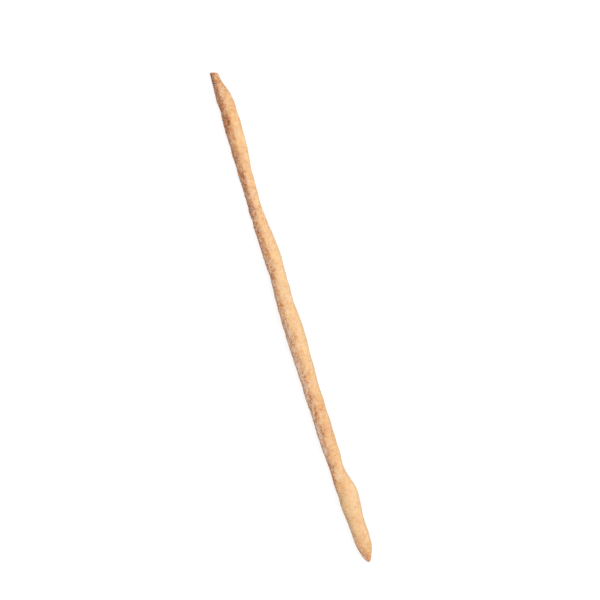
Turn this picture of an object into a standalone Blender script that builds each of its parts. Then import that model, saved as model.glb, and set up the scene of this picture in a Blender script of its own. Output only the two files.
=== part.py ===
"""A hand-stretched grissini breadstick, 260 mm from tip to tip, lying on its baked underside.

The stick runs along X. Its cut end is at -X and its pointed end at +X, Y is across it and Z is up.
It is one solid: a skin of rings grown from the cut face to the point. Each ring is an uneven oval
whose size and place come from a plain round rope of dough, changed by the swells and drifts that
stretching by hand leaves in it. The finished stick stands with the middle of its base at the origin.
"""

import math

import bmesh
import bpy

MM = 0.001

# ---- driving sizes, in millimetres ----
LENGTH = 260.0
HALF_WIDTH = 4.07  # of the rope of dough before it was stretched
RING_COUNT = 118
SIDE_COUNT = 32
END_CROWDING = 0.78  # how much closer together the rings stand towards both ends

# Where stretching made the rope thicker or thinner: place along X, reach, gain in half width.
SWELLS = {
    "knuckle behind the neck": (-95.0, 9.5, 0.28),
    "long waist": (-66.0, 19.0, -0.75),
    "nick in the waist": (-59.5, 5.0, -0.18),
    "second knuckle": (-35.0, 7.5, 0.37),
    "belly": (8.5, 15.5, 0.76),
    "fullness after the belly": (28.0, 45.0, 0.07),
    "pinch": (81.5, 8.8, -1.08),
    "heavy end": (91.7, 13.4, 1.25),
    "corner of the shoulder": (88.8, 3.2, 0.12),
}

# Where the rope wanders to one side: place along X, reach, move along Y.
SIDE_SHIFT = -1.16
DRIFTS = {
    "neck turned back": (-127.0, 8.0, -0.70),
    "first bend": (-110.0, 31.0, 1.82),
    "slack after it": (-66.0, 17.0, -0.20),
    "nick in the waist": (-59.5, 5.0, -0.16),
    "small hump": (-30.0, 13.5, 0.77),
    "hump over the belly": (11.0, 9.0, 0.21),
    "long bow": (49.5, 45.0, -0.74),
    "pinch pulled aside": (81.0, 15.5, -0.55),
    "shoulder": (92.0, 6.5, 0.71),
    "corner of the shoulder": (88.8, 3.2, 0.12),
    "bend to the point": (113.0, 38.0, 0.75),
}

# The cut end: a short neck that closes in a slanted flat face.
NECK_START = -112.5
NECK_END = -129.5
CUT_HALF_WIDTH = 2.05
CUT_ROUNDING = 1.0
CUT_SLANT = 0.32  # how far the face runs along X for each millimetre across
CUT_SLANT_FADE = 6.0

# The pointed end: half width grows as a power of the distance from the tip.
POINT_LENGTH = 8.7
POINT_POWER = 0.60
POINT_FLAT = 0.15  # the skin closes this far from the tip

# The oval section, as superellipses above and below the widest line.
TOP_POWER = 2.25
BASE_POWER = 2.6
TOP_RISE = 0.98  # heights as a share of the half width
BASE_DROP = 0.84
SINK = 0.32  # how much of the rounded base the tray pressed flat
TIP_AXIS_SHARE = 0.5  # how far the axis follows the thinning ends down
CURL_REACH = 9.0
POINT_CURL = 0.55
CUT_CURL = 0.35

# The first part of the stick leans: its ridge lies to one side of its widest line.
LEAN = 0.24
LEAN_END = -40.0
LEAN_FADE = 22.0

# Kneading lumps: waves along X and round the stick, as amplitude, length along X, turns, phase.
LUMPS = (
    (0.070, 23.0, 1, 0.4),
    (0.065, 14.5, -2, 1.9),
    (0.050, 9.7, 3, 4.1),
    (0.040, 7.3, -1, 2.7),
    (0.035, 17.9, 4, 5.3),
)
LUMP_FADE = 5.0  # lumps die out this far from either end

# A shallow crease pressed across the top, where the dough was pinched.
CREASE_PLACE = 47.7
CREASE_REACH = 2.4
CREASE_DEPTH = 0.18
CREASE_ANGLE = math.radians(72)
CREASE_SPREAD = math.radians(38)

CRUST_COLOUR = (0.87, 0.57, 0.29, 1.0)
CRUST_ROUGHNESS = 0.72


def bump(place, middle, reach):
    """A bell curve, 1 at its middle, that falls off over its reach."""
    return math.exp(-(((place - middle) / reach) ** 2))


def sum_of_bumps(place, bumps):
    """What the named bumps add up to at a place along the stick."""
    return sum(gain * bump(place, middle, reach) for middle, reach, gain in bumps.values())


def ease(start, end, place):
    """0 before start, 1 past end, and a smooth S between them."""
    share = min(max((place - start) / (end - start), 0.0), 1.0)
    return share * share * (3.0 - 2.0 * share)


def soft_min(first, second, blend):
    """The smaller of two numbers, with the corner between them rounded."""
    gap = first - second
    return 0.5 * (first + second - math.sqrt(gap * gap + blend * blend))


def rope_half_width(place):
    """Half the width of the stick before its ends are shaped."""
    return HALF_WIDTH + sum_of_bumps(place, SWELLS)


def half_width(place):
    """Half the width of the stick: the rope, drawn in to the neck and to the point."""
    neck = ease(NECK_START, NECK_END, place)
    width = rope_half_width(place) * (1.0 - neck) + CUT_HALF_WIDTH * neck
    to_tip = max(LENGTH / 2 - place, 0.0)
    taper = HALF_WIDTH * (to_tip / POINT_LENGTH) ** POINT_POWER
    return soft_min(width, taper, 0.35)


def axis_side(place):
    """How far the middle of the stick lies along Y."""
    return SIDE_SHIFT + sum_of_bumps(place, DRIFTS)


def axis_height(place):
    """How high the widest line lies: the rope's own sag, lower where an end thins, and its curl."""
    follows = TIP_AXIS_SHARE * half_width(place) + (1.0 - TIP_AXIS_SHARE) * rope_half_width(place)
    curl = POINT_CURL * bump(place, LENGTH / 2, CURL_REACH) + CUT_CURL * bump(place, -LENGTH / 2, CURL_REACH)
    return BASE_DROP * follows - SINK + curl


def lump(place, angle):
    """How far kneading pushes the skin out, as a sum of waves along and round the stick."""
    to_end = LENGTH / 2 - abs(place)
    waves = sum(
        height * math.sin(math.tau * place / length + turns * angle + phase)
        for height, length, turns, phase in LUMPS
    )
    return waves * ease(0.0, LUMP_FADE, to_end)


def crease(place, angle):
    """How deep the pinched crease is: one bell along the stick times one round it."""
    return CREASE_DEPTH * bump(place, CREASE_PLACE, CREASE_REACH) * bump(angle, CREASE_ANGLE, CREASE_SPREAD)


def cut_edge(place):
    """How far the skin turns in at the cut face: a quarter circle of the rounding's radius."""
    depth = min(max((place + LENGTH / 2) / CUT_ROUNDING, 0.0), 1.0)
    return CUT_ROUNDING * (1.0 - math.sqrt(1.0 - (1.0 - depth) ** 2))


def skin_point(place, angle):
    """The point of the skin at a place along the stick and an angle round it, from +Y over the top."""
    across, up = math.cos(angle), math.sin(angle)
    power = TOP_POWER if up > 0 else BASE_POWER
    flatness = TOP_RISE if up > 0 else BASE_DROP
    radius = half_width(place) - cut_edge(place) + lump(place, angle) - crease(place, angle)
    side = radius * math.copysign(abs(across) ** (2.0 / power), across)
    height = radius * flatness * math.copysign(abs(up) ** (2.0 / power), up)
    side += LEAN * max(height, 0.0) * (1.0 - ease(LEAN_END - LEAN_FADE, LEAN_END, place)) * abs(across)
    slant = CUT_SLANT * side * (1.0 - ease(0.0, CUT_SLANT_FADE, place + LENGTH / 2))
    lowest = max(axis_height(place) + height, 0.0)
    return ((place + slant) * MM, (axis_side(place) + side) * MM, lowest * MM)


def ring_places():
    """The rings' places along X: an even run blended with a sine, which crowds them at the ends."""
    start = -LENGTH / 2 + CUT_SLANT * (CUT_HALF_WIDTH - CUT_ROUNDING)
    end = LENGTH / 2 - POINT_FLAT
    middle, half = (start + end) / 2, (end - start) / 2
    for index in range(RING_COUNT):
        even = 2.0 * index / (RING_COUNT - 1) - 1.0
        crowded = math.sin(even * math.pi / 2)
        yield middle + half * ((1.0 - END_CROWDING) * even + END_CROWDING * crowded)


def set_ring(skin, side, place):
    """Moves one ring of vertices to its place on the skin."""
    for vertex in skin:
        vertex.co = skin_point(place, math.tau * vertex[side] / SIDE_COUNT)


def grow_stick():
    """A bmesh of the whole skin: the cut face, extruded ring by ring to the point."""
    mesh = bmesh.new()
    side = mesh.verts.layers.int.new("side")
    ring = bmesh.ops.create_circle(mesh, cap_ends=True, segments=SIDE_COUNT, radius=MM)["verts"]
    for index, vertex in enumerate(ring):
        vertex[side] = index
    face = mesh.faces[:][0]
    for index, place in enumerate(ring_places()):
        if index:
            whole_face = [face, *face.edges, *face.verts]
            grown = bmesh.ops.extrude_face_region(mesh, geom=whole_face)["geom"]
            face = next(item for item in grown if isinstance(item, bmesh.types.BMFace))
            ring = [item for item in grown if isinstance(item, bmesh.types.BMVert)]
        set_ring(ring, side, place)
    mesh.verts.layers.int.remove(side)
    return mesh


def centre_on_base(mesh):
    """Moves the skin so that the middle of its bounding box's base is at the origin."""
    middle = [
        (min(vertex.co[axis] for vertex in mesh.verts) + max(vertex.co[axis] for vertex in mesh.verts)) / 2
        for axis in range(2)
    ]
    bmesh.ops.translate(mesh, verts=mesh.verts, vec=(-middle[0], -middle[1], 0.0))


def crust_material():
    """Dry golden crust."""
    material = bpy.data.materials.new("crust")
    material.use_nodes = True
    shader = material.node_tree.nodes["Principled BSDF"]
    shader.inputs["Base Color"].default_value = CRUST_COLOUR
    shader.inputs["Roughness"].default_value = CRUST_ROUGHNESS
    shader.inputs["Metallic"].default_value = 0.0
    return material


def make_breadstick():
    """The breadstick object, shaded smooth, with its crust."""
    skin = grow_stick()
    centre_on_base(skin)
    bmesh.ops.recalc_face_normals(skin, faces=skin.faces)
    mesh = bpy.data.meshes.new("breadstick")
    skin.to_mesh(mesh)
    skin.free()
    mesh.shade_smooth()
    mesh.materials.append(crust_material())
    breadstick = bpy.data.objects.new("breadstick", mesh)
    bpy.context.scene.collection.objects.link(breadstick)
    return breadstick


def main():
    for old in list(bpy.data.objects):
        bpy.data.objects.remove(old)
    make_breadstick()


main()
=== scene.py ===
"""The looks of a hand-stretched grissini breadstick: its baked crust and the meal that clings to it.

The stick lies along X with its cut end at -X and its point at +X. Y is across it and Z is up. The
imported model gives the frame: its place, its size and the plain solid that the crust stands for.
Sizes are in millimetres and angles in degrees, unless a name says otherwise. An angle round the
stick is 0 at +Y, 90 on top, 180 at -Y and -90 or 270 underneath.
"""

from __future__ import annotations

import logging
import math
from dataclasses import dataclass, field
from enum import Enum
from itertools import product

import bpy
import numpy as np
import numpy.typing as npt
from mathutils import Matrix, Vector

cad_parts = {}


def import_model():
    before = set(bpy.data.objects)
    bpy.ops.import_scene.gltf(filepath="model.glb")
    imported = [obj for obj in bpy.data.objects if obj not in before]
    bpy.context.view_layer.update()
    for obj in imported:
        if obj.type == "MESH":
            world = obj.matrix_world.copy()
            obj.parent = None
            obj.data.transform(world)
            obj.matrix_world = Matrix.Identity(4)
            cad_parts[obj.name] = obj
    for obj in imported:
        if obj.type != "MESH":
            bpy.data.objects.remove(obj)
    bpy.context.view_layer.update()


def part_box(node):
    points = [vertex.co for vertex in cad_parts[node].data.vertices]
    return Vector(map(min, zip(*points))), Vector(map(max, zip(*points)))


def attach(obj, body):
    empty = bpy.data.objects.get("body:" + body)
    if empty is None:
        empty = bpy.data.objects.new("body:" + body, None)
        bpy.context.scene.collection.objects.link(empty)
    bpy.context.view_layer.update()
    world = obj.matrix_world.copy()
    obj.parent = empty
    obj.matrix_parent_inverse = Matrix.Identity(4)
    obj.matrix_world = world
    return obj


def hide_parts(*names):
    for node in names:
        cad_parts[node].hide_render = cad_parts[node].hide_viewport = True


Array = npt.NDArray[np.float64]
Whole = npt.NDArray[np.int64]
Colour = tuple[float, float, float, float]
Span = tuple[float, float]  # where something starts and ends
Line = tuple[float, float]  # a straight line's start and slope
Grain = tuple[float, float, float]  # a noise's width in millimetres, its finer layers, their strength
Socket = bpy.types.NodeSocket
Value = Socket | float | tuple[float, ...]

MM = 0.001
NODE = "breadstick"
BODY = "root"
WHITE = (1.0, 1.0, 1.0, 1.0)

log = logging.getLogger("breadstick")


# ---- small formulas ----


def srgb(red: int, green: int, blue: int) -> Colour:
    """A screen colour, 0 to 255, as shaders take it: each part p as ((p + 0.055) / 1.055) to the 2.4."""
    parts = [((part / 255 + 0.055) / 1.055) ** 2.4 for part in (red, green, blue)]
    return (parts[0], parts[1], parts[2], 1.0)


def ease(start: float | Array, end: float | Array, place: Array) -> Array:
    """0 before start, 1 past end, and thrice the square less twice the cube of the share between."""
    share = np.clip((place - start) / (end - start), 0.0, 1.0)
    return share * share * (3.0 - 2.0 * share)


def rise(line: Line, value: Array) -> Array:
    """A straight line read at a value: its start plus its slope times the value."""
    return line[0] + line[1] * value


def bell(place: Array, middle: float, reach: float) -> Array:
    """A bell curve: the exponential of minus the squared distance from the middle, in reaches."""
    return np.exp(-(((place - middle) / reach) ** 2))


def round_bell(angle: Array, middle: float, reach: float) -> Array:
    """A bell curve round the stick: the bell of the shorter way between two angles."""
    return bell((angle - middle + 180.0) % 360.0 - 180.0, 0.0, reach)


def unit(vectors: Array) -> Array:
    """Vectors, each divided by its length."""
    return vectors / np.maximum(np.linalg.norm(vectors, axis=-1, keepdims=True), 1e-12)


class Lattice:
    """Smooth and cellular noise on a shuffled lattice of whole numbers, the same every run."""

    SIZE = 256
    CORNERS = np.array(list(product((0, 1), repeat=3)))
    NEIGHBOURS = np.array(list(product((-1, 0, 1), repeat=3)))
    STEEPNESS = 1.6
    FINER = 2.03
    APART = 17.3
    FAR = 9.0

    def __init__(self, seed: int) -> None:
        """Draws the lattice's directions, jitters and chances from a seed."""
        draw = np.random.default_rng(seed)
        self.order = draw.permutation(self.SIZE)
        self.directions = unit(draw.normal(size=(self.SIZE, 3)))
        self.jitter = draw.random((self.SIZE, 3))
        self.chance = draw.random(self.SIZE)

    def pick(self, cells: Whole) -> Whole:
        """Which entry of the tables each lattice cell takes: the shuffle of x, then y, then z."""
        x, y, z = (cells % self.SIZE).T
        return self.order[(self.order[(self.order[x] + y) % self.SIZE] + z) % self.SIZE]

    def smooth(self, points: Array) -> Array:
        """Gradient noise.

        Args:
            points: rows of three lattice coordinates.

        Returns:
            About -1 to 1: each corner's direction dotted with the way from it, blended over the cell.
        """
        low = np.floor(points).astype(np.int64)
        inside = points - low
        blend = inside**3 * (inside * (inside * 6.0 - 15.0) + 10.0)
        total = np.zeros(len(points))
        for corner in self.CORNERS:
            weight = np.prod(np.where(corner == 1, blend, 1.0 - blend), axis=1)
            slope = np.sum(self.directions[self.pick(low + corner)] * (inside - corner), axis=1)
            total += weight * slope
        return total * self.STEEPNESS

    def fractal(self, points: Array, octaves: int = 3, gain: float = 0.5) -> Array:
        """Gradient noise summed over octaves, each about twice as fine and lower by the gain."""
        layers = range(octaves)
        return sum(gain**k * self.smooth(points * self.FINER**k + self.APART * k) for k in layers)

    def cells(self, points: Array) -> tuple[Array, Array, Array]:
        """Cellular noise: one jittered seed in each lattice cell.

        Args:
            points: rows of three lattice coordinates.

        Returns:
            The distance to the nearest seed, how much further the second is, and the nearest's chance.
        """
        low = np.floor(points).astype(np.int64)
        nearest = np.full(len(points), self.FAR)
        second = np.full(len(points), self.FAR)
        chance = np.zeros(len(points))
        for offset in self.NEIGHBOURS:
            index = self.pick(low + offset)
            distance = np.linalg.norm(low + offset + self.jitter[index] - points, axis=1)
            closer = distance < nearest
            second = np.where(closer, nearest, np.minimum(second, distance))
            chance = np.where(closer, self.chance[index], chance)
            nearest = np.where(closer, distance, nearest)
        return nearest, second - nearest, chance


# ---- the form of the dough ----


@dataclass(frozen=True)
class Bump:
    """A soft change along the stick: a bell curve by its middle, reach and gain."""

    middle: float
    reach: float
    gain: float

    def at(self, place: Array) -> Array:
        """The change at places along the stick: the gain times the bell."""
        return self.gain * bell(place, self.middle, self.reach)


def sum_of(bumps: tuple[Bump, ...], place: Array) -> Array:
    """What the bumps add up to at places along the stick."""
    return sum(bump.at(place) for bump in bumps)


@dataclass(frozen=True)
class Spot:
    """A soft spot on the skin: a bell along the stick times a bell round it."""

    place: float
    angle: float
    reach: float
    spread: float
    gain: float
    skew: float = 0.0

    def at(self, place: Array, angle: Array) -> Array:
        """The spot's gain at places and angles. Skew turns it, in degrees round for each millimetre."""
        turned = angle - self.skew * (place - self.place)
        return self.gain * bell(place, self.place, self.reach) * round_bell(turned, self.angle, self.spread)


def spots_at(spots: tuple[Spot, ...], place: Array, angle: Array) -> Array:
    """What the spots add up to at places and angles."""
    return sum(spot.at(place, angle) for spot in spots)


@dataclass(frozen=True)
class Wave:
    """One kneading wave: its height, its length along the stick, its turns round it and its phase."""

    height: float
    length: float
    turns: int
    phase: float

    def at(self, place: Array, angle: Array) -> Array:
        """The wave's height at places and angles: a sine of both."""
        round_part = self.turns * np.radians(angle)
        return self.height * np.sin(math.tau * place / self.length + round_part + self.phase)


@dataclass(frozen=True)
class Dough:
    """The smooth form of the stick: a rope of dough, swollen and shifted by stretching by hand."""

    length: float = 260.0
    rope: float = 4.07
    swells: tuple[Bump, ...] = (
        Bump(-95, 9.5, 0.28), Bump(-66, 19, -0.75), Bump(-59.5, 5, -0.18), Bump(-35, 7.5, 0.37),
        Bump(8.5, 15.5, 0.76), Bump(28, 45, 0.07), Bump(81.5, 8.8, -1.08), Bump(91.7, 13.4, 1.25),
        Bump(88.8, 3.2, 0.12),
    )
    side_shift: float = -1.16
    drifts: tuple[Bump, ...] = (
        Bump(-127, 8, -0.70), Bump(-110, 31, 1.82), Bump(-66, 17, -0.20), Bump(-59.5, 5, -0.16),
        Bump(-30, 13.5, 0.77), Bump(11, 9, 0.21), Bump(49.5, 45, -0.74), Bump(81, 15.5, -0.55),
        Bump(92, 6.5, 0.71), Bump(88.8, 3.2, 0.12), Bump(113, 38, 0.75),
    )
    neck: Span = (-112.5, -129.5)
    cut_half_width: float = 2.05
    cut_rounding: float = 1.0
    cut_slant: float = 0.32
    cut_slant_fade: float = 6.0
    point_length: float = 8.7
    point_power: float = 0.60
    point_flat: float = 0.15
    point_blend: float = 0.35
    top_power: float = 2.25
    base_power: float = 2.6
    top_rise: float = 0.98
    base_drop: float = 0.84
    sink: float = 0.32
    tip_axis_share: float = 0.5
    curl_reach: float = 9.0
    point_curl: float = 0.55
    cut_curl: float = 0.35
    lean: float = 0.24
    lean_end: float = -40.0
    lean_fade: float = 22.0
    waves: tuple[Wave, ...] = (
        Wave(0.070, 23, 1, 0.4), Wave(0.065, 14.5, -2, 1.9), Wave(0.050, 9.7, 3, 4.1),
        Wave(0.040, 7.3, -1, 2.7), Wave(0.035, 17.9, 4, 5.3),
    )
    wave_fade: float = 5.0
    crease: Spot = Spot(47.7, 72, 2.4, 38, 0.18)

    @property
    def start(self) -> float:
        """Where the cut face's middle lies along X: in from the end by the slant over its flat."""
        return -self.length / 2 + self.cut_slant * (self.cut_half_width - self.cut_rounding)

    @property
    def end(self) -> float:
        """Where the skin closes at the point."""
        return self.length / 2 - self.point_flat

    def rope_half_width(self, place: Array) -> Array:
        """Half the width before the ends are shaped: the rope plus its swells."""
        return self.rope + sum_of(self.swells, place)

    def half_width(self, place: Array) -> Array:
        """Half the width of the stick.

        Args:
            place: places along the stick.

        Returns:
            The rope eased into the neck, and softly held under a power curve that shrinks to the tip.
        """
        neck = ease(*self.neck, place)
        width = self.rope_half_width(place) * (1.0 - neck) + self.cut_half_width * neck
        to_tip = np.maximum(self.length / 2 - place, 0.0)
        taper = self.rope * (to_tip / self.point_length) ** self.point_power
        return 0.5 * (width + taper - np.sqrt((width - taper) ** 2 + self.point_blend**2))

    def axis_side(self, place: Array) -> Array:
        """How far the middle of the stick lies along Y: the shift plus its drifts."""
        return self.side_shift + sum_of(self.drifts, place)

    def axis_height(self, place: Array) -> Array:
        """How high the widest line lies.

        Args:
            place: places along the stick.

        Returns:
            The base's drop over a blend of the rope's and the stick's half width, sunk, plus the curls.
        """
        share = self.tip_axis_share
        follows = share * self.half_width(place) + (1.0 - share) * self.rope_half_width(place)
        curl = self.point_curl * bell(place, self.length / 2, self.curl_reach)
        curl = curl + self.cut_curl * bell(place, -self.length / 2, self.curl_reach)
        return self.base_drop * follows - self.sink + curl

    def radius(self, place: Array, angle: Array) -> Array:
        """How far the skin stands from the axis before the oval is flattened.

        Args:
            place, angle: where on the skin.

        Returns:
            The half width, less the cut edge's quarter circle, plus the waves, less the crease.
        """
        depth = np.clip((place + self.length / 2) / self.cut_rounding, 0.0, 1.0)
        cut_edge = self.cut_rounding * (1.0 - np.sqrt(1.0 - (1.0 - depth) ** 2))
        fade = ease(0.0, self.wave_fade, self.length / 2 - np.abs(place))
        waves = fade * sum(wave.at(place, angle) for wave in self.waves)
        return self.half_width(place) - cut_edge + waves - self.crease.at(place, angle)

    def skin(self, place: Array, angle: Array, shrink: Array) -> Array:
        """Points of the smooth skin, not yet pressed flat on the tray.

        Args:
            place, angle: where on the skin.
            shrink: share of the radius, under 1 only on the cut face.

        Returns:
            Rows of X, Y, Z: a superellipse above and one below the widest line, leaning at first.
        """
        across, up = np.cos(np.radians(angle)), np.sin(np.radians(angle))
        power = np.where(up > 0, self.top_power, self.base_power)
        flatness = np.where(up > 0, self.top_rise, self.base_drop)
        radius = self.radius(place, angle) * shrink
        side = radius * np.sign(across) * np.abs(across) ** (2.0 / power)
        height = radius * flatness * np.sign(up) * np.abs(up) ** (2.0 / power)
        leaning = 1.0 - ease(self.lean_end - self.lean_fade, self.lean_end, place)
        side = side + self.lean * np.maximum(height, 0.0) * leaning * np.abs(across)
        slant = self.cut_slant * side * (1.0 - ease(0.0, self.cut_slant_fade, place + self.length / 2))
        return np.stack([place + slant, self.axis_side(place) + side, self.axis_height(place) + height], -1)


# ---- how the crust baked, and the shade painted into it ----


@dataclass(frozen=True)
class Bake:
    """Where the crust is rough, toasted and floury, and where painted shade darkens it, as soft fields along
    and round the stick.
    """

    rough_start: float = 108.0
    rough_shifts: tuple[Bump, ...] = (
        Bump(-98, 14, 7), Bump(-57, 16, -13), Bump(-12, 12, 6), Bump(38, 36, -15),
        Bump(102, 22, 20),
    )
    rough_blend: float = 17.0
    rough_fray: float = 16.0
    base_edge: Span = (-58.0, -28.0)
    base_fray: float = 6.0
    calm_end: Span = (78.0, 92.0)
    calm_flank: Span = (205.0, 250.0)
    calm_share: float = 0.6
    neck: Span = (-115.0, -122.0)
    neck_share: float = 0.62
    dough_tone: float = 0.30
    golden_tone: float = 0.075
    # painted shade: the +Y side darkens a little towards its edge
    painted_side_shade: Span = (0.55, 1.0)
    painted_side_shade_tone: float = 0.03
    # rough crust browns more, and more towards the -Y side: partly browning and partly painted shade on the
    # side away from the key light; the hidden span takes some of it off underneath
    rough_and_shade_side: Span = (0.4, 1.0)
    rough_and_shade_tone: Line = (0.20, 0.12)
    hidden_flank: Span = (182.0, 230.0)
    hidden_loss: float = 0.30
    under: Span = (0.2, 0.95)
    under_tone: float = 0.10
    contact_tone: float = 0.16
    film: Line = (0.05, 0.10)
    golden: tuple[Bump, ...] = (
        Bump(-130, 8, 0.9), Bump(-108, 9, 0.8), Bump(-94, 6, -0.8), Bump(-62, 12, 0.9),
        Bump(-14, 30, -0.7), Bump(60, 20, 0.8), Bump(97, 13, -1), Bump(127, 5, 1.1),
    )
    browned: tuple[Bump, ...] = (Bump(36, 44, -0.48), Bump(104, 18, -0.45), Bump(-128, 9, 0.25))
    # most are scorched patches of crust; painted shade: the spot at 126.2 mm and 120 degrees darkens the
    # crease above the point's floury lip, and the one at 126.4 mm and 158 degrees is a painted shadow under
    # that lip. The spot at 47.7 mm and 70 degrees darkens along the crease there.
    scorches_and_shade: tuple[Spot, ...] = (
        Spot(-104, 104, 11, 14, 0.12), Spot(-94, 106, 12, 13, 0.24), Spot(-86, 119, 3.5, 9, 0.10),
        Spot(3.5, 139, 2.4, 12, 0.24), Spot(11.5, 129, 2, 10, 0.20), Spot(19.5, 136, 1.8, 11, 0.18),
        Spot(-60.5, 110, 8, 13, 0.11), Spot(-59.5, 112, 2.4, 14, 0.22),
        Spot(-34, 104, 2.8, 10, 0.22), Spot(-24, 118, 4, 8, 0.14), Spot(17.3, 78, 2.2, 13, 0.11),
        Spot(47.7, 70, 1.5, 26, 0.20), Spot(78, 126, 2, 18, 0.18), Spot(30.8, 125, 1.4, 11, 0.26),
        Spot(52, 132, 2.4, 12, 0.18), Spot(61.3, 134, 1.2, 11, 0.20), Spot(89, 109, 3.2, 11, 0.17),
        Spot(128.6, 84, 1.6, 60, 0.16), Spot(126.2, 120, 2, 7, 0.36, skew=-12),
        Spot(126.4, 158, 2.6, 11, 0.13, skew=-10), Spot(115, 140, 8, 14, 0.07),
        Spot(-129.6, 120, 1.6, 80, 0.12), Spot(-125, 122, 4.5, 26, 0.12),
        Spot(-123, 152, 1.6, 22, 0.15), Spot(-117, 158, 2.4, 18, 0.18),
        Spot(-117.6, 114, 4.8, 19, 0.28), Spot(124.6, 99, 2.2, 19, 0.24),
    )
    floury: tuple[Spot, ...] = (
        Spot(12, 146, 16, 28, 0.48), Spot(38, 140, 18, 28, 0.58), Spot(64, 138, 12, 27, 0.56),
        Spot(-20, 142, 17, 24, 0.36), Spot(-50, 136, 18, 26, 0.22), Spot(-62, 84, 12, 40, 0.22),
        Spot(-84, 138, 14, 24, 0.16), Spot(-119, 90, 8, 36, 0.20), Spot(110, 158, 14, 20, 0.30),
    )
    clots: tuple[Spot, ...] = (
        Spot(-122.6, 84, 1, 13, 0.70), Spot(-117.8, 104, 1.1, 9, 0.50),
        Spot(7.5, 128, 1.9, 11, 1.05), Spot(15.5, 134, 1.2, 9, 0.85),
        Spot(23.3, 133, 1.2, 11, 1.35), Spot(27.4, 141, 1.3, 13, 1.45),
        Spot(34.4, 126, 1.8, 12, 1.30), Spot(40.5, 138, 1.7, 9, 1.10), Spot(58, 136, 2, 11, 1.05),
        Spot(63, 136, 1.9, 12, 1.20), Spot(69, 131, 2.1, 14, 1.25), Spot(77, 118, 1, 8, 0.60),
        Spot(125.7, 138, 2.1, 8.5, 2.20, skew=-12),
    )

    def roughness(self, place: Array, angle: Array, wobble: Array) -> Array:
        """How rough the crust is: the side that lay against the meal, and underneath.

        Args:
            place, angle: where on the skin.
            wobble: noise, about -1 to 1, that frays its edge.

        Returns:
            0 where smooth to 1 where rough: less on the heavy end, and rough all round the neck.
        """
        edge = self.rough_start + sum_of(self.rough_shifts, place) + self.rough_fray * wobble
        over_top = ease(edge - self.rough_blend, edge + self.rough_blend, angle)
        below = 1.0 - ease(*self.base_edge, angle + self.base_fray * wobble)
        calm = self.calm_share * ease(*self.calm_end, place) * (1.0 - ease(*self.calm_flank, angle))
        neck = self.neck_share * ease(*self.neck, place)
        return np.maximum(np.maximum(over_top * (1.0 - calm), below), neck)

    def toast_and_shade(self, place: Array, angle: Array, rough: Array, contact: Array) -> Array:
        """How dark the crust is, before its mottling: how it baked, with painted shade towards the +Y edge
        and about the crease at the point, and partly painted shade towards the -Y side.

        Args:
            place, angle: where on the skin.
            rough: the roughness field.
            contact: 1 where the crust touched the tray.

        Returns:
            About 0 for pale dough to 1 for dark brown.
        """
        across, up = np.cos(np.radians(angle)), np.sin(np.radians(angle))
        brown = 1.0 + sum_of(self.browned, place)
        hidden = 1.0 - self.hidden_loss * ease(*self.hidden_flank, angle)
        tone = self.dough_tone + self.golden_tone * sum_of(self.golden, place)
        # painted shade: a little darker towards the +Y edge
        tone = tone + self.painted_side_shade_tone * ease(*self.painted_side_shade, across)
        # rough crust browns more; the extra towards the -Y side is partly painted shade on the side away
        # from the key light
        tone = tone + rough * brown * hidden * rise(self.rough_and_shade_tone, ease(*self.rough_and_shade_side, -across))
        tone = tone + self.under_tone * ease(*self.under, -up) + self.contact_tone * contact
        # scorched spots, with painted shade and a painted shadow about the point's floury lip
        return tone + spots_at(self.scorches_and_shade, place, angle)

    def flour(self, place: Array, angle: Array, rough: Array) -> Array:
        """How much meal and flour clings: the named drifts, and a little on all that is rough."""
        return np.clip(rise(self.film, rough) + spots_at(self.floury, place, angle), 0.0, 1.0)

    def clotted(self, place: Array, angle: Array) -> Array:
        """Where flour sticks in solid clots."""
        return np.clip(spots_at(self.clots, place, angle), 0.0, 1.0)


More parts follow.
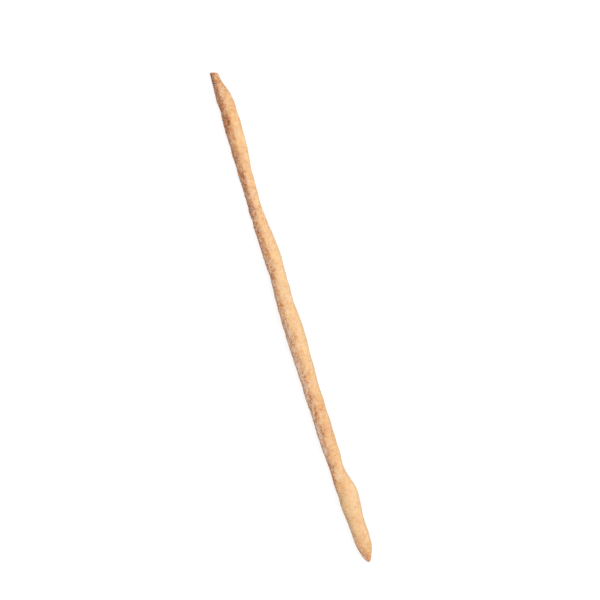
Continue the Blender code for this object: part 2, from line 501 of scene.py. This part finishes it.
@dataclass(frozen=True)
class Relief:
    """The fine relief of the crust, from long soft stretch marks down to grains and pores, and the painted
    shade that darkens its pores, gaps and creases.
    """

    seed: int = 11
    stretch_height: float = 0.085
    stretch_cell: Span = (11.0, 3.6)
    wrinkle_height: float = 0.040
    wrinkle_cell: Span = (4.6, 0.95)
    wrinkle_twist: float = 5.0
    wrinkle_share: Line = (0.55, 0.45)
    skin_height: float = 0.055
    skin_cell: float = 1.0
    lump_height: float = 0.13
    lump_cell: float = 2.1
    grain_height: float = 0.17
    grain_cell: float = 1.15
    grain_gap: float = 0.30
    grain_share: Line = (0.35, 0.65)
    grain_middle: float = 0.5
    grit_height: float = 0.075
    grit_cell: float = 0.62
    pore_depth: float = 0.26
    pore_cell: float = 2.1
    pore_width: float = 0.17
    pore_rarity: Line = (0.80, -0.42)
    pore_share: Line = (0.35, 0.65)
    blister_height: float = 0.15
    blister_cell: float = 7.5
    blister_width: float = 0.20
    blister_rarity: float = 0.62
    # painted shade: how much pores, gaps between grains on rough crust and creases are darkened, through the
    # sunk field
    pore_shade: Line = (0.22, 0.78)
    gap_shade: float = 0.45
    crease_shade: float = 1.3
    creases: tuple[Spot, ...] = (
        Spot(-123.4, 138, 0.9, 30, 0.10, skew=3), Spot(-119.3, 60, 0.9, 30, 0.10),
        Spot(79, 96, 1.4, 34, 0.09, skew=4), Spot(126.2, 123, 1.9, 6, 0.28, skew=-12),
    )

    def twisted(self, place: Array, angle: Array, reach: Array, cell: Span) -> Array:
        """Lattice coordinates that wind round the stick, for marks drawn out along it.

        Args:
            place, angle, reach: cylindrical coordinates of the skin.
            cell: the mark's length and width.

        Returns:
            Rows of three: the place over the length, and the circle, turned by the twist, over the width.
        """
        turn = np.radians(angle + self.wrinkle_twist * place)
        length, width = cell
        return np.stack([place / length, reach * np.cos(turn) / width, reach * np.sin(turn) / width], -1)

    def heights(
        self, place: Array, angle: Array, reach: Array, points: Array, rough: Array
    ) -> tuple[Array, Array]:
        """How far the crust stands out from the smooth form.

        The numbers added to points keep the layers of noise apart.

        Args:
            place, angle, reach: cylindrical coordinates of the skin.
            points: the skin's points.
            rough: the roughness field.

        Returns:
            The height, and the sunk field, 0 to 1: painted shade that darkens pores, gaps between grains on
                rough crust and creases.
        """
        marks = Lattice(self.seed)
        bits = Lattice(self.seed + 1)
        stretches = marks.fractal(self.twisted(place, angle, reach, self.stretch_cell), 2)
        height = self.stretch_height * stretches
        wrinkles = marks.fractal(self.twisted(place, angle, reach, self.wrinkle_cell), 2)
        height += self.wrinkle_height * wrinkles * rise(self.wrinkle_share, 1.0 - rough)
        height += self.skin_height * bits.fractal(points / self.skin_cell, 3)
        height += self.lump_height * rough * bits.fractal(points / self.lump_cell + 31.0, 2)
        _, gap, chance = bits.cells(points / self.grain_cell)
        grain = ease(0.0, self.grain_gap, gap)
        height += self.grain_height * rough * (grain * rise(self.grain_share, chance) - self.grain_middle)
        height += self.grit_height * rough * bits.fractal(points / self.grit_cell + 7.0, 2)
        near, _, chance = marks.cells(points / self.blister_cell)
        height += self.blister_height * ease(self.blister_width, 0.0, near) * (chance > self.blister_rarity)
        near, _, chance = marks.cells(points / self.pore_cell + 3.0)
        shaded_recess = bell(near, 0.0, self.pore_width) * (chance > rise(self.pore_rarity, rough))
        height -= self.pore_depth * shaded_recess * rise(self.pore_share, rough)
        creased = spots_at(self.creases, place, angle)
        height -= creased
        # painted shade: pores, gaps between grains and creases darkened through the sunk field
        sunk = shaded_recess * rise(self.pore_shade, rough) + self.gap_shade * rough * (1.0 - grain)
        return height, np.clip(sunk + self.crease_shade * creased, 0.0, 1.0)


@dataclass(frozen=True)
class Mottling:
    """How the toast and the flour vary from place to place, as noise on cells of these sizes.

    The numbers added to points keep the layers of noise apart.
    """

    seed: int = 23
    coarse_cell: tuple[float, float, float] = (5.5, 2.6, 2.6)
    coarse_gain: Line = (0.075, 0.135)
    fine_cell: float = 1.1
    fine_gain: Line = (0.120, 0.165)
    ridge_height: float = 0.12
    ridge_gain: float = 0.03
    patch_cell: float = 2.3
    patch_edge: Span = (-0.15, 0.45)
    patch_gain: Line = (0.20, 1.6)
    ragged_cell: float = 0.9
    ragged_gain: Line = (0.75, 0.7)

    def toast_and_shade(self, points: Array, rough: Array, height: Array) -> Array:
        """What mottling adds to the toast.

        Args:
            points: the skin's points.
            rough: the roughness field.
            height: the relief's height.

        Returns:
            Coarse and fine noise, both stronger where it is rough, and a little for each ridge there.
        """
        noise = Lattice(self.seed)
        coarse = noise.fractal(points / np.array(self.coarse_cell), 3)
        fine = noise.fractal(points / self.fine_cell + 9.0, 3, 0.65)
        ridge = np.clip(height / self.ridge_height, -1.0, 1.0) * self.ridge_gain
        return coarse * rise(self.coarse_gain, rough) + fine * rise(self.fine_gain, rough) + rough * ridge

    def flour(self, points: Array, drifted: Array, clotted: Array) -> Array:
        """How the flour lies.

        Args:
            points: the skin's points.
            drifted: the drifts of flour.
            clotted: its clots.

        Returns:
            The drifts broken into patches, plus the clots with ragged edges.
        """
        noise = Lattice(self.seed)
        patchy = ease(*self.patch_edge, noise.fractal(points / self.patch_cell + 40.0, 3, 0.7))
        ragged = rise(self.ragged_gain, noise.fractal(points / self.ragged_cell + 60.0, 2))
        return np.clip(drifted * rise(self.patch_gain, patchy) + clotted * ragged, 0.0, 1.0)


# ---- meshes ----


def make_piece(
    name: str, points: Array, faces: list, fields: dict[str, Array], is_smooth: bool
) -> bpy.types.Object:
    """An object made from arrays, at the origin, unturned.

    Args:
        name: the piece's name.
        points: rows of X, Y, Z in millimetres.
        faces: lists of point numbers.
        fields: named numbers, one for each point, for the finish to read.
        is_smooth: shaded smooth.

    Returns:
        The new object, linked to the scene.
    """
    mesh = bpy.data.meshes.new(name)
    mesh.from_pydata((points * MM).tolist(), [], faces)
    for key, values in fields.items():
        numbers = mesh.attributes.new(key, "FLOAT", "POINT").data
        numbers.foreach_set("value", np.asarray(values, np.float32))
    if is_smooth:
        mesh.shade_smooth()
    mesh.update()
    piece = bpy.data.objects.new(name, mesh)
    bpy.context.scene.collection.objects.link(piece)
    return piece


@dataclass
class CrustSkin:
    """The whole baked crust as one closed skin of rings, from the middle of the cut face to the point."""

    dough: Dough = field(default_factory=Dough)
    bake: Bake = field(default_factory=Bake)
    relief: Relief = field(default_factory=Relief)
    mottling: Mottling = field(default_factory=Mottling)
    rings: int = 850
    sides: int = 112
    face_rings: int = 9
    end_crowding: float = 0.62
    face_dome: float = 0.28
    face_relief_fade: float = 0.35
    point_fade: float = 1.2
    edge_seed: int = 5
    edge_cell: float = 4.5
    contact_height: float = 0.12
    open_pits: float = 0.8
    # painted shade: where the +Y side is greyed towards its edge
    painted_edge_grey_span: Span = (0.68, 0.98)

    def ring_grid(self) -> tuple[Array, Array, Array]:
        """The grid of the skin.

        Returns:
            Each point's place, angle and shrink. The first rings spread out over the cut face; the rest
            run along the stick, an even run blended with a sine, which crowds them at the ends.
        """
        face_shrink = np.linspace(0.0, 1.0, self.face_rings + 1)[1:-1]
        even = np.linspace(-1.0, 1.0, self.rings - len(face_shrink))
        crowded = (1.0 - self.end_crowding) * even + self.end_crowding * np.sin(even * math.pi / 2)
        start, end = self.dough.start, self.dough.end
        along = (start + end) / 2 + (end - start) / 2 * crowded
        place = np.concatenate([np.full(len(face_shrink), start), along])
        shrink = np.concatenate([face_shrink, np.ones(len(crowded))])
        angle = np.arange(self.sides) * 360.0 / self.sides - 90.0
        places, angles = np.meshgrid(place, angle, indexing="ij")
        return places, angles, np.repeat(shrink[:, None], self.sides, 1)

    def normals(self, grid: Array) -> Array:
        """Outward normals of a closed grid of points: the cross product of its two central differences."""
        along = np.gradient(grid, axis=0)
        around = np.roll(grid, -1, axis=1) - np.roll(grid, 1, axis=1)
        return unit(np.cross(around, along))

    def shape(self, centre: Array) -> None:
        """Works out the skin's points, normals and fields, with pits kept open where the tray pressed.

        Args:
            centre: X and Y of the middle of the solid's box.
        """
        dough = self.dough
        places, angles, shrinks = self.ring_grid()
        form = dough.skin(places, angles, shrinks)
        form[..., 0] -= self.face_dome * (1.0 - shrinks**2)
        outward = self.normals(form).reshape(-1, 3)
        place, angle, shrink = places.reshape(-1), angles.reshape(-1), shrinks.reshape(-1)
        points = form.reshape(-1, 3)
        reach = np.hypot(points[:, 1] - dough.axis_side(place), points[:, 2] - dough.axis_height(place))
        wobble = Lattice(self.edge_seed).fractal(points / self.edge_cell, 3)
        self.rough = self.bake.roughness(place, angle, wobble)
        self.height, self.sunk = self.relief.heights(place, angle, reach, points, self.rough)
        fade = ease(0.0, self.face_relief_fade, shrink)
        fade = fade * ease(0.0, self.point_fade, dough.length / 2 - place)
        lifted = points + outward * (self.height * fade)[:, None]
        self.contact = 1.0 - ease(0.0, self.contact_height, lifted[:, 2])
        pits = np.minimum(self.height, 0.0) * fade * -self.open_pits
        lifted[:, 2] = np.maximum(lifted[:, 2], pits)
        lifted[:, :2] += centre - (points.min(0) + points.max(0))[:2] / 2
        self.place, self.angle, self.points = place, angle, lifted
        self.normal = self.normals(lifted.reshape(form.shape)).reshape(-1, 3)

    def tones(self) -> dict[str, Array]:
        """The fields that the crust's finish reads.

        Returns:
            toast_and_shade, flour, painted_edge_grey, rough and sunk, one number for each point.
            painted_edge_grey and sunk are painted shade, and toast_and_shade is toasting with some painted
            shade in it.
        """
        bake, place, angle, rough = self.bake, self.place, self.angle, self.rough
        toast_and_shade = bake.toast_and_shade(place, angle, rough, self.contact)
        toast_and_shade = toast_and_shade + self.mottling.toast_and_shade(self.points, rough, self.height)
        flour = self.mottling.flour(self.points, bake.flour(place, angle, rough), bake.clotted(place, angle))
        # painted shade: the +Y side, greyed towards its edge
        painted_edge_grey = ease(*self.painted_edge_grey_span, np.cos(np.radians(angle)))
        return {"toast_and_shade": toast_and_shade, "flour": flour, "painted_edge_grey": painted_edge_grey, "rough": rough, "sunk": self.sunk}

    def build(self, centre: Array) -> bpy.types.Object:
        """The crust object.

        Args:
            centre: X and Y of the middle of the solid's box.

        Returns:
            The mesh: quads between rings, and a fan of triangles to a pole at either end.
        """
        self.shape(centre)
        index = np.arange(self.rings * self.sides).reshape(self.rings, self.sides)
        beside = np.roll(index, -1, axis=1)
        quads = np.stack([index[:-1], beside[:-1], beside[1:], index[1:]], -1).reshape(-1, 4)
        grid = self.points.reshape(self.rings, self.sides, 3)
        poles = np.stack([grid[0].mean(0), grid[-1].mean(0) + [self.dough.point_flat, 0.0, 0.0]])
        first, last = len(self.points), len(self.points) + 1
        first_fan = np.stack([beside[0], index[0], np.full(self.sides, first)], -1)
        last_fan = np.stack([index[-1], beside[-1], np.full(self.sides, last)], -1)
        fields = {}
        for key, values in self.tones().items():
            rows = values.reshape(self.rings, self.sides)
            fields[key] = np.concatenate([values, [rows[0].mean(), rows[-1].mean()]])
        faces = quads.tolist() + first_fan.tolist() + last_fan.tolist()
        return make_piece("crust", np.concatenate([self.points, poles]), faces, fields, True)


class Shape(Enum):
    """How a clinging grain is shaped: its three half sizes, as shares of its size."""

    GRANULE = (0.52, 0.38, 0.28)
    FLAKE = (0.56, 0.40, 0.15)
    SPECK = (0.50, 0.44, 0.24)


@dataclass(frozen=True)
class Scatter:
    """One kind of small thing that clings to the crust, all of them joined in one mesh."""

    SIZE_SPREAD = (1.6, 2.6)
    STRETCH = (0.65, 1.25)

    name: str
    count: int
    sizes: Span
    shape: Shape
    sunk_share: float
    uneven: float
    seed: int
    is_smooth: bool = False

    def icosahedron(self) -> tuple[Array, Whole]:
        """The twelve corners and twenty faces of a unit icosahedron.

        Returns:
            The corners are the even permutations of (0, 1, golden ratio) with all signs; each face is
            three corners that stand one edge apart, turned to face out.
        """
        golden = (1.0 + math.sqrt(5.0)) / 2.0
        signs = np.array(list(product((-1, 1), repeat=2)))
        base = np.stack([np.zeros(4), signs[:, 0], signs[:, 1] * golden], -1)
        corners = unit(np.concatenate([base, np.roll(base, 1, 1), np.roll(base, 2, 1)]))
        apart = np.linalg.norm(corners[:, None] - corners[None], axis=-1)
        edge = apart[apart > 0.1].min() * 1.01
        joined = (apart < edge) & (apart > 0.1)
        first, second, third = np.nonzero(joined[:, :, None] & joined[None] & joined[:, None])
        faces = np.stack([first, second, third], -1)[(first < second) & (second < third)]
        a, b, c = (corners[faces[:, k]] for k in range(3))
        inward = np.sum(np.cross(b - a, c - a) * a, axis=1) < 0
        faces[inward] = faces[inward][:, ::-1]
        return corners, faces

    def build(self, skin: CrustSkin, density: Array) -> bpy.types.Object:
        """All the grains as one object.

        Args:
            skin: the crust that they cling to.
            density: how thickly they lie at each of the crust's points.

        Returns:
            The mesh. A grain's place is drawn by density times area, its middle stands off the skin by
            half its height less what is sunk, and its corners are jittered icosahedron corners.
        """
        draw = np.random.default_rng(self.seed)
        grid = skin.points.reshape(skin.rings, skin.sides, 3)
        along = np.diff(grid, axis=0, append=grid[-1:]).reshape(-1, 3)
        around = (np.roll(grid, -1, axis=1) - grid).reshape(-1, 3)
        weight = density * np.linalg.norm(np.cross(along, around), axis=1)
        chosen = draw.choice(len(weight), self.count, p=weight / weight.sum())
        slide = draw.random((2, self.count, 1))
        seat = skin.points[chosen] + along[chosen] * slide[0] + around[chosen] * slide[1]
        low, high = self.sizes
        size = low * (high / low) ** draw.beta(*self.SIZE_SPREAD, self.count)
        up = skin.normal[chosen]
        side = unit(np.cross(up, draw.normal(size=(self.count, 3))))
        axes = np.stack([side, np.cross(up, side), up], 1)
        corners, faces = self.icosahedron()
        jitter = 1.0 + self.uneven * draw.uniform(-1.0, 1.0, (self.count, len(corners), 3))
        half = np.array(self.shape.value) * draw.uniform(*self.STRETCH, (self.count, 3))
        local = corners * jitter * half[:, None] * size[:, None, None]
        middle = seat + up * (size * half[:, 2] * (1.0 - 2.0 * self.sunk_share))[:, None]
        points = middle[:, None] + np.einsum("nkc,ncd->nkd", local, axes)
        points[..., 2] = np.maximum(points[..., 2], 0.0)
        steps = np.arange(self.count)[:, None, None] * len(corners)
        tone = np.repeat(draw.random(self.count), len(corners))
        joined = (faces + steps).reshape(-1, 3).tolist()
        return make_piece(self.name, points.reshape(-1, 3), joined, {"tone": tone}, self.is_smooth)


# ---- finishes ----


class NodeSheet:
    """A material's nodes, with short calls that add one and join it up."""

    def __init__(self, name: str) -> None:
        """Starts a material of that name."""
        self.material = bpy.data.materials.new(name)
        self.material.use_nodes = True
        self.nodes = self.material.node_tree.nodes
        self.links = self.material.node_tree.links
        self.surface = self.nodes["Principled BSDF"]
        self.where = self.nodes.new("ShaderNodeTexCoord").outputs["Object"]

    def plug(self, socket: Socket, value: Value) -> None:
        """Joins a socket to another one, or sets its number or colour."""
        if isinstance(value, bpy.types.NodeSocket):
            self.links.new(value, socket)
        else:
            socket.default_value = value

    def add(self, kind: str, inputs: dict[str | int, Value], output: str | int, **settings: str) -> Socket:
        """Adds a node.

        Args:
            kind: Blender's name for it.
            inputs: what goes into its sockets, by name or number.
            output: the socket to read.
            settings: its options.

        Returns:
            The output socket.
        """
        node = self.nodes.new(kind)
        for name, option in settings.items():
            setattr(node, name, option)
        for name, value in inputs.items():
            self.plug(node.inputs[name], value)
        return node.outputs[output]

    def fix(self, values: dict[str, float | tuple[float, ...]]) -> None:
        """Sets what is the same all over the surface, on the shader's own sockets."""
        for name, value in values.items():
            self.surface.inputs[name].default_value = value

    def field(self, name: str) -> Socket:
        """A named field of the mesh, as a number."""
        return self.add("ShaderNodeAttribute", {}, "Fac", attribute_name=name)

    def noise(self, size: float, detail: float = 3.0, roughness: float = 0.55) -> Socket:
        """Noise about 0.5 on Object coordinates, by its width in millimetres, finer layers and strength."""
        inputs = {"Vector": self.where, "Scale": 1.0 / (size * MM), "Detail": detail, "Roughness": roughness}
        return self.add("ShaderNodeTexNoise", inputs, "Fac")

    def flecks(self, size: float, width: float, share: float) -> Socket:
        """Scattered round flecks on Object coordinates.

        Args:
            size: how far apart they can lie, in millimetres.
            width: a fleck's radius as a share of that.
            share: the share of places that hold one.

        Returns:
            1 inside a fleck and 0 outside.
        """
        inputs = {"Vector": self.where, "Scale": 1.0 / (size * MM)}
        distance = self.add("ShaderNodeTexVoronoi", inputs, "Distance")
        chance = self.add("ShaderNodeSeparateColor", {"Color": distance.node.outputs["Color"]}, "Red")
        return self.times(self.remap(distance, width, width * 0.5), self.math("LESS_THAN", chance, share))

    def math(self, kind: str, first: Socket | float, second: Socket | float) -> Socket:
        """One sum of two numbers, by Blender's name for it."""
        return self.add("ShaderNodeMath", {0: first, 1: second}, 0, operation=kind)

    def times(self, first: Socket | float, second: Socket | float) -> Socket:
        """The product of two numbers."""
        return self.math("MULTIPLY", first, second)

    def line(self, line: Line, value: Socket) -> Socket:
        """A straight line read at a value: its start plus its slope times the value."""
        return self.math("ADD", line[0], self.times(value, line[1]))

    def remap(self, value: Socket, low: float, high: float) -> Socket:
        """A number taken from low and high to a smooth 0 and 1."""
        inputs = {"Value": value, "From Min": low, "From Max": high}
        return self.add("ShaderNodeMapRange", inputs, "Result", interpolation_type="SMOOTHSTEP")

    def sway(self, value: Socket, change: Socket, amount: Socket | float) -> Socket:
        """A number moved up and down by noise: the noise less a half, times the amount, is added."""
        return self.math("ADD", value, self.times(self.math("SUBTRACT", change, 0.5), amount))

    def mix(self, share: Socket | float, first: Socket, second: Colour) -> Socket:
        """A colour with a share of a second one; sockets 0, 6 and 7 are the share and the colours."""
        return self.add("ShaderNodeMix", {0: share, 6: first, 7: second}, 2, data_type="RGBA")

    def ramp(self, value: Socket, stops: tuple[tuple[float, Colour], ...]) -> Socket:
        """A colour read off a run of stops.

        Args:
            value: where it is read, 0 to 1.
            stops: places and colours.

        Returns:
            The colour.
        """
        node = self.nodes.new("ShaderNodeValToRGB")
        self.plug(node.inputs["Fac"], value)
        while len(node.color_ramp.elements) < len(stops):
            node.color_ramp.elements.new(0.5)
        for element, (place, colour) in zip(node.color_ramp.elements, stops):
            element.position = place
            element.color = colour
        return node.outputs["Color"]

    def bump(self, height: Socket, depth: float, strength: float) -> None:
        """Gives the surface a fine bump, with its depth in millimetres."""
        inputs = {"Strength": strength, "Distance": depth * MM, "Height": height}
        self.plug(self.surface.inputs["Normal"], self.add("ShaderNodeBump", inputs, "Normal"))


@dataclass(frozen=True)
class Patches:
    """Soft patches of a tint: their width, the noise where they start and are full, and their strength."""

    colour: Colour
    width: float
    edge: Span
    strength: float

    def share(self, sheet: NodeSheet) -> Socket:
        """The share of the tint, 0 to its strength."""
        return sheet.times(sheet.remap(sheet.noise(self.width, 4.0, 0.65), *self.edge), self.strength)


@dataclass(frozen=True)
class CrustFinish:
    """Dry golden crust: pale to brown by how it baked, dusted with flour, with bran flecks and pores, and
    with painted shade along its +Y edge and in its pores, gaps and creases.
    """

    stops: tuple[tuple[float, Colour], ...] = (
        (0.0, srgb(236, 208, 166)),
        (0.30, srgb(225, 180, 131)),
        (0.52, srgb(208, 143, 92)),
        (0.76, srgb(176, 104, 62)),
        (1.0, srgb(104, 60, 36)),
    )
    straw: Patches = Patches(srgb(240, 198, 128), 3.8, (0.47, 0.70), 0.52)
    straw_share: Line = (1.0, -0.75)
    bloom: Patches = Patches(srgb(243, 209, 184), 2.5, (0.50, 0.72), 0.46)
    flour: Colour = srgb(244, 216, 194)
    flour_edge: Span = (0.44, 0.66)
    flour_lift: float = 0.20
    flour_cover: float = 0.90
    # painted shade: a grey tan laid over the +Y side towards its edge
    painted_edge_grey_colour: Colour = srgb(197, 176, 144)
    painted_edge_grey_cover: float = 0.48
    # painted shade: a dark brown laid into pores, gaps between grains and creases, by the sunk field
    shaded_recess: Colour = srgb(122, 66, 38)
    shaded_recess_cover: float = 0.62
    bran: tuple[float, float, float] = (1.3, 0.22, 0.20)
    bran_tone: float = 0.24
    coarse: Grain = (1.6, 3.0, 0.55)
    coarse_sway: float = 0.20
    fine: Grain = (0.8, 4.0, 0.7)
    fine_sway: Line = (0.26, 0.26)
    dust: Grain = (0.5, 4.0, 0.7)
    matt: Line = (0.56, 0.24)
    matt_grain: Grain = (0.8, 3.0, 0.55)
    matt_sway: float = 0.18
    grit: Grain = (0.30, 3.0, 0.6)
    ripple: Grain = (0.9, 3.0, 0.55)
    ripple_share: float = 0.8
    bump: tuple[float, float] = (0.12, 0.75)
    specular: float = 0.12
    soft_weight: float = 0.10
    soft_depth: float = 0.9

    def make(self) -> bpy.types.Material:
        """The crust's material."""
        sheet = NodeSheet("baked_crust")
        rough = sheet.field("rough")
        bran = sheet.times(sheet.flecks(*self.bran), self.bran_tone)
        colour = sheet.ramp(sheet.math("ADD", bran, self.swayed_toast_and_shade(sheet, rough)), self.stops)
        straw = sheet.times(self.straw.share(sheet), sheet.line(self.straw_share, rough))
        colour = sheet.mix(straw, colour, self.straw.colour)
        colour = sheet.mix(self.bloom.share(sheet), colour, self.bloom.colour)
        # painted shade: the +Y side greyed towards its edge
        colour = sheet.mix(sheet.times(sheet.field("painted_edge_grey"), self.painted_edge_grey_cover), colour, self.painted_edge_grey_colour)
        colour = sheet.mix(self.dusting(sheet), colour, self.flour)
        # painted shade in pores, gaps between grains and creases
        colour = sheet.mix(sheet.times(sheet.field("sunk"), self.shaded_recess_cover), colour, self.shaded_recess)
        sheet.plug(sheet.surface.inputs["Base Color"], colour)
        matt = sheet.sway(sheet.line(self.matt, rough), sheet.noise(*self.matt_grain), self.matt_sway)
        sheet.plug(sheet.surface.inputs["Roughness"], matt)
        ripple = sheet.times(sheet.noise(*self.ripple), self.ripple_share)
        sheet.bump(sheet.math("ADD", sheet.noise(*self.grit), ripple), *self.bump)
        sheet.fix({
            "Specular IOR Level": self.specular,
            "Subsurface Weight": self.soft_weight,
            "Subsurface Radius": (1.0, 0.55, 0.3),
            "Subsurface Scale": self.soft_depth * MM,
        })
        return sheet.material

    def swayed_toast_and_shade(self, sheet: NodeSheet, rough: Socket) -> Socket:
        """The toast field, mottled at two sizes, the finer one stronger where the crust is rough."""
        tone = sheet.sway(sheet.field("toast_and_shade"), sheet.noise(*self.coarse), self.coarse_sway)
        return sheet.sway(tone, sheet.noise(*self.fine), sheet.line(self.fine_sway, rough))

    def dusting(self, sheet: NodeSheet) -> Socket:
        """How white the flour field makes the crust: the field, broken up by fine noise."""
        flour = sheet.field("flour")
        cover = sheet.math("ADD", sheet.noise(*self.dust), sheet.times(flour, self.flour_lift))
        return sheet.times(sheet.times(flour, sheet.remap(cover, *self.flour_edge)), self.flour_cover)


@dataclass(frozen=True)
class GrainFinish:
    """Grains that cling to the crust, each of its own tone between a pale and a toasted colour."""

    name: str
    pale: Colour
    middle: Colour
    toasted: Colour
    middle_at: float = 0.6
    sway: float = 0.3
    sway_width: float = 0.25
    roughness: float = 0.7
    specular: float = 0.3
    soft_weight: float = 0.0
    soft_depth: float = 0.4

    def make(self) -> bpy.types.Material:
        """The grains' material."""
        sheet = NodeSheet(self.name)
        tone = sheet.sway(sheet.field("tone"), sheet.noise(self.sway_width), self.sway)
        colour = sheet.ramp(tone, ((0.0, self.pale), (self.middle_at, self.middle), (1.0, self.toasted)))
        sheet.plug(sheet.surface.inputs["Base Color"], colour)
        sheet.fix({
            "Roughness": self.roughness,
            "Specular IOR Level": self.specular,
            "Subsurface Weight": self.soft_weight,
            "Subsurface Radius": (1.0, 0.7, 0.45),
            "Subsurface Scale": self.soft_depth * MM,
        })
        return sheet.material


# ---- the studio ----


@dataclass(frozen=True)
class Studio:
    """A plain pale floor, one large soft light, a soft white room and a camera that looks straight down."""

    floor_half: float = 9.0
    floor_rim: float = 0.7
    floor_flare: float = 1.1
    floor_drop: float = 0.00004
    floor_colour: Colour = (0.20, 0.20, 0.198, 1.0)
    floor_glow: float = 0.83
    room_strength: float = 0.40
    key_bearing: float = 98.0
    key_height: float = 69.0
    key_distance: float = 1.3
    key_size: float = 1.2
    key_watts: float = 16.6
    camera_turn: float = 72.36
    camera_height: float = 0.8457
    camera_lens: float = 100.0
    camera_offset: tuple[float, float] = (-0.0069, 0.00685)

    def lay_floor(self) -> None:
        """A flat sheet just under the stick, far wider than the view, with a rim that hides its end."""
        half, rim = self.floor_half, self.floor_rim
        square = np.array([(-half, -half), (half, -half), (half, half), (-half, half)])
        corners = [(x, y, 0.0) for x, y in square] + [(x, y, rim) for x, y in square * self.floor_flare]
        sides = [(k, (k + 1) % 4, (k + 1) % 4 + 4, k + 4) for k in range(4)]
        mesh = bpy.data.meshes.new("floor")
        mesh.from_pydata(corners, [], [(0, 1, 2, 3), *[side[::-1] for side in sides]])
        floor = bpy.data.objects.new("floor", mesh)
        floor.location.z = -self.floor_drop
        bpy.context.scene.collection.objects.link(floor)
        sheet = NodeSheet("floor_paper")
        sheet.fix({
            "Base Color": self.floor_colour,
            "Roughness": 0.9,
            "Emission Color": WHITE,
            "Emission Strength": self.floor_glow,
            "Specular IOR Level": 0.1,
        })
        mesh.materials.append(sheet.material)

    def light(self) -> None:
        """The room's even white, and the key light, aimed at the stick from its smooth side."""
        world = bpy.data.worlds.new("room")
        world.use_nodes = True
        backdrop = world.node_tree.nodes["Background"]
        backdrop.inputs["Color"].default_value = WHITE
        backdrop.inputs["Strength"].default_value = self.room_strength
        bpy.context.scene.world = world
        lamp = bpy.data.lights.new("key", "AREA")
        lamp.shape = "DISK"
        lamp.size = self.key_size
        lamp.energy = self.key_watts
        key = bpy.data.objects.new("key", lamp)
        bearing, height = math.radians(self.key_bearing), math.radians(self.key_height)
        level, up = math.cos(height) * self.key_distance, math.sin(height) * self.key_distance
        key.location = (math.cos(bearing) * level, math.sin(bearing) * level, up)
        key.rotation_euler = (math.pi / 2 - height, 0.0, bearing + math.pi / 2)
        bpy.context.scene.collection.objects.link(key)

    def set_camera(self, centre: Array) -> None:
        """The camera, straight above and turned so that the stick stands a little off upright.

        Args:
            centre: X and Y of the middle of the solid's box, in metres.
        """
        data = bpy.data.cameras.new("camera")
        data.lens = self.camera_lens
        data.sensor_width = 36.0
        camera = bpy.data.objects.new("camera", data)
        camera.location = (*(centre + self.camera_offset), self.camera_height)
        camera.rotation_euler = (0.0, 0.0, math.radians(self.camera_turn))
        bpy.context.scene.collection.objects.link(camera)
        bpy.context.scene.camera = camera

    def build(self, centre: Array) -> None:
        """Sets up the whole studio, with colours shown as they are, without a film's curve.

        Args:
            centre: X and Y of the middle of the solid's box, in metres.
        """
        self.set_camera(centre)
        self.lay_floor()
        self.light()
        bpy.context.scene.view_settings.view_transform = "Standard"
        bpy.context.scene.view_settings.look = "None"


# ---- the order of work ----


@dataclass
class Breadstick:
    """The dressed breadstick: the crust in place of the plain solid, and all that clings to it."""

    skin: CrustSkin = field(default_factory=CrustSkin)
    semolina: Scatter = Scatter("semolina_grains", 5200, (0.22, 0.62), Shape.GRANULE, 0.34, 0.30, 41)
    specks: Scatter = Scatter("flour_specks", 6000, (0.12, 0.32), Shape.SPECK, 0.22, 0.25, 42, True)
    crumbs: Scatter = Scatter("toasted_crumbs", 2400, (0.20, 0.58), Shape.FLAKE, 0.35, 0.32, 43)
    meal: GrainFinish = GrainFinish(
        "semolina_meal", srgb(242, 216, 194), srgb(230, 188, 154), srgb(190, 126, 86), soft_weight=0.15
    )
    dust: GrainFinish = GrainFinish(
        "flour_dust", srgb(245, 221, 207), srgb(236, 205, 185), srgb(218, 174, 144), roughness=0.9
    )
    burnt: GrainFinish = GrainFinish(
        "toasted_crumb", srgb(206, 142, 90), srgb(172, 106, 64), srgb(114, 64, 40)
    )
    clot_share: float = 1.2
    loose_meal: float = 0.02
    rough_meal: float = 0.05
    meal_power: float = 1.5
    loose_flour: float = 0.03
    loose_crumbs: float = 0.01
    bare_crumbs: float = 1.1

    def settle(self, piece: bpy.types.Object, material: bpy.types.Material) -> None:
        """Gives a piece its finish, its body and its slot, and reports it.

        Args:
            piece: the new piece.
            material: its finish.
        """
        piece.data.materials.append(material)
        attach(piece, BODY)
        log.info("%s: %d points, %d faces", piece.name, len(piece.data.vertices), len(piece.data.polygons))

    def build(self, centre: Array) -> None:
        """Makes every piece.

        Args:
            centre: X and Y of the middle of the solid's box, in millimetres.
        """
        skin = self.skin
        crust = skin.build(centre)
        self.settle(crust, CrustFinish().make())
        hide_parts(NODE)
        off_tray, rough = 1.0 - skin.contact, skin.rough
        flour = skin.bake.flour(skin.place, skin.angle, rough)
        flour = np.clip(flour + self.clot_share * skin.bake.clotted(skin.place, skin.angle), 0.0, 1.0)
        on_meal = off_tray * (self.loose_meal + flour**self.meal_power * rough + self.rough_meal * rough)
        on_flour = off_tray * (self.loose_flour + flour)
        between = off_tray * (self.loose_crumbs + rough * (self.bare_crumbs - flour))
        self.settle(self.semolina.build(skin, on_meal), self.meal.make())
        self.settle(self.specks.build(skin, on_flour), self.dust.make())
        self.settle(self.crumbs.build(skin, between), self.burnt.make())


def as_lists(corners: tuple) -> list[list[float]]:
    """A box's two corners as plain lists of numbers."""
    return [[float(number) for number in corner] for corner in corners]


def main() -> None:
    """Loads the frame, reads the solid's box, and builds the studio and the breadstick in order."""
    logging.basicConfig(level=logging.INFO, format="%(name)s: %(message)s")
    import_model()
    low, high = np.array(as_lists(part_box(NODE)))
    centre = (low + high)[:2] / 2
    Studio().build(centre)
    Breadstick().build(centre / MM)


if __name__ == "__main__":
    main()
